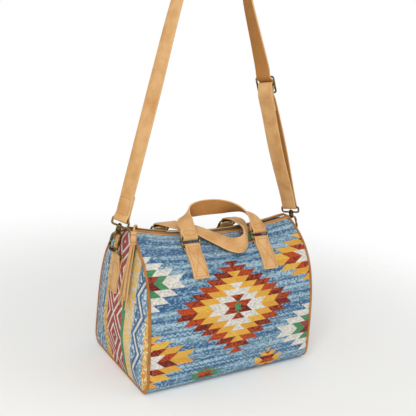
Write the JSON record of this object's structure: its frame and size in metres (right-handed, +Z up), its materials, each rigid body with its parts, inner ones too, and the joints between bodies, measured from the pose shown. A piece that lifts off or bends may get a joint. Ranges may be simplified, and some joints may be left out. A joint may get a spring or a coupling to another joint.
{
  "type": "boston bag",
  "caption": "Boston travel bag in flat-woven kilim cloth with tan leather handles, piped ends, top zip with tassel, and an adjustable clip-on shoulder strap.",
  "frame": {"origin": "middle of the flat base, on the surface the bag stands on", "axes": "+X along the bag to its right-hand end, -Y to its front, +Z up"},
  "size_m": [0.4445, 0.2456, 0.7835],
  "materials": {
    "kilim_cloth": "flat-woven wool with stepped diamonds on a streaked blue ground",
    "kilim_end": "flat-woven wool in banded stripes",
    "lining_cloth": "plain cotton",
    "zip_cloth": "woven zip tape",
    "tan_leather": "vegetable-tanned, natural",
    "piping_leather": "vegetable-tanned, darker tan",
    "aged_brass": "antiqued, satin",
    "stiff_board": "matt"
  },
  "bodies": {
    "bag": {"main_panel": "kilim_cloth", "lining": "lining_cloth", "base_board": "stiff_board", "end_panel_left": "kilim_end", "end_panel_right": "kilim_end", "piping_left": "piping_leather", "piping_right": "piping_leather", "end_tab_left": "tan_leather", "end_tab_right": "tan_leather", "zip_tape_front": "zip_cloth", "zip_tape_back": "zip_cloth", "zip_binding_front": "piping_leather", "zip_binding_back": "piping_leather", "tab_front_left": "tan_leather", "tab_front_right": "tan_leather", "tab_back_left": "tan_leather", "tab_back_right": "tan_leather"},
    "front_rings": {"ring_front_left": "aged_brass", "ring_front_right": "aged_brass"},
    "front_handle": {"handle_front": "tan_leather"},
    "back_rings": {"ring_back_left": "aged_brass", "ring_back_right": "aged_brass"},
    "back_handle": {"handle_back": "tan_leather"},
    "d_ring_left": {"d_ring_left": "aged_brass"},
    "d_ring_right": {"d_ring_right": "aged_brass"},
    "strap": {"shoulder_strap": "tan_leather", "strap_slide": "aged_brass", "swivel_eye_left": "aged_brass", "swivel_eye_right": "aged_brass"},
    "hook_left": {"hook_body_left": "aged_brass", "gate_pin_left": "aged_brass"},
    "hook_right": {"hook_body_right": "aged_brass", "gate_pin_right": "aged_brass"},
    "gate_left": {"hook_gate_left": "aged_brass"},
    "gate_right": {"hook_gate_right": "aged_brass"},
    "slider": {"zip_slider": "aged_brass"},
    "pull": {"zip_pull": "aged_brass"},
    "tassel": {"tassel_lace": "tan_leather", "tassel_band": "tan_leather", "tassel_fringe": "tan_leather"}
  },
  "joints": [
    {"name": "front_rings_swing", "type": "hinge", "parent": "bag", "child": "front_rings", "pos_m": [0.004, -0.04932, 0.25348], "axis": [1, -0.0002, 0.0029], "range_deg": [0, 70]},
    {"name": "front_handle_swing", "type": "hinge", "parent": "front_rings", "child": "front_handle", "pos_m": [0.004, -0.04014, 0.26659], "axis": [1, -0.0002, 0.0029], "range_deg": [0, 75]},
    {"name": "back_rings_swing", "type": "hinge", "parent": "bag", "child": "back_rings", "pos_m": [-0.014, 0.04932, 0.25355], "axis": [0.9999, -0.0008, -0.0102], "range_deg": [-3, 0]},
    {"name": "back_handle_swing", "type": "hinge", "parent": "back_rings", "child": "back_handle", "pos_m": [-0.014, 0.04015, 0.26665], "axis": [0.9999, -0.0008, -0.0102], "range_deg": [-4, 0]},
    {"name": "d_ring_left_swing", "type": "hinge", "parent": "bag", "child": "d_ring_left", "pos_m": [-0.20144, 0, 0.23128], "axis": [0, 1, 0], "range_deg": [0, 5]},
    {"name": "d_ring_right_swing", "type": "hinge", "parent": "bag", "child": "d_ring_right", "pos_m": [0.20144, 0, 0.23128], "axis": [0, 1, 0], "range_deg": [-5, 0]},
    {"name": "strap_swing", "type": "hinge", "parent": "bag", "child": "strap", "pos_m": [0.0003, 0, 0.2431], "axis": [1, 0, 0.0004], "range_deg": [-36, 8]},
    {"name": "hook_left_swivel", "type": "hinge", "parent": "strap", "child": "hook_left", "pos_m": [-0.21359, 0, 0.243], "axis": [0.2419, 0, 0.9703], "range_deg": [-20, 20]},
    {"name": "hook_right_swivel", "type": "hinge", "parent": "strap", "child": "hook_right", "pos_m": [0.21419, 0, 0.24319], "axis": [-0.3584, 0, 0.9336], "range_deg": [-20, 20]},
    {"name": "gate_left_press", "type": "hinge", "parent": "hook_left", "child": "gate_left", "pos_m": [-0.2168, 0, 0.2673], "axis": [0, 1, 0], "range_deg": [-22, 0], "stiffness_Nm_per_rad": 0.01, "springref_deg": 11.46},
    {"name": "gate_right_press", "type": "hinge", "parent": "hook_right", "child": "gate_right", "pos_m": [0.21442, 0, 0.26771], "axis": [0, 1, 0], "range_deg": [0, 22], "stiffness_Nm_per_rad": 0.01, "springref_deg": -11.46},
    {"name": "zip_run", "type": "hinge", "parent": "bag", "child": "slider", "pos_m": [0, 0, 1.04109], "axis": [0, 1, 0], "range_deg": [-22.2, 0], "deforming": ["tassel_lace", "tassel_band", "tassel_fringe"]},
    {"name": "pull_lift", "type": "hinge", "parent": "slider", "child": "pull", "pos_m": [-0.1543, 0, 0.27095], "axis": [0, 1, 0], "range_deg": [0, 60]},
    {"name": "tassel_swing", "type": "hinge", "parent": "pull", "child": "tassel", "pos_m": [-0.17045, 0, 0.28274], "axis": [0, 1, 0], "range_deg": [0, 50]}
  ]
}
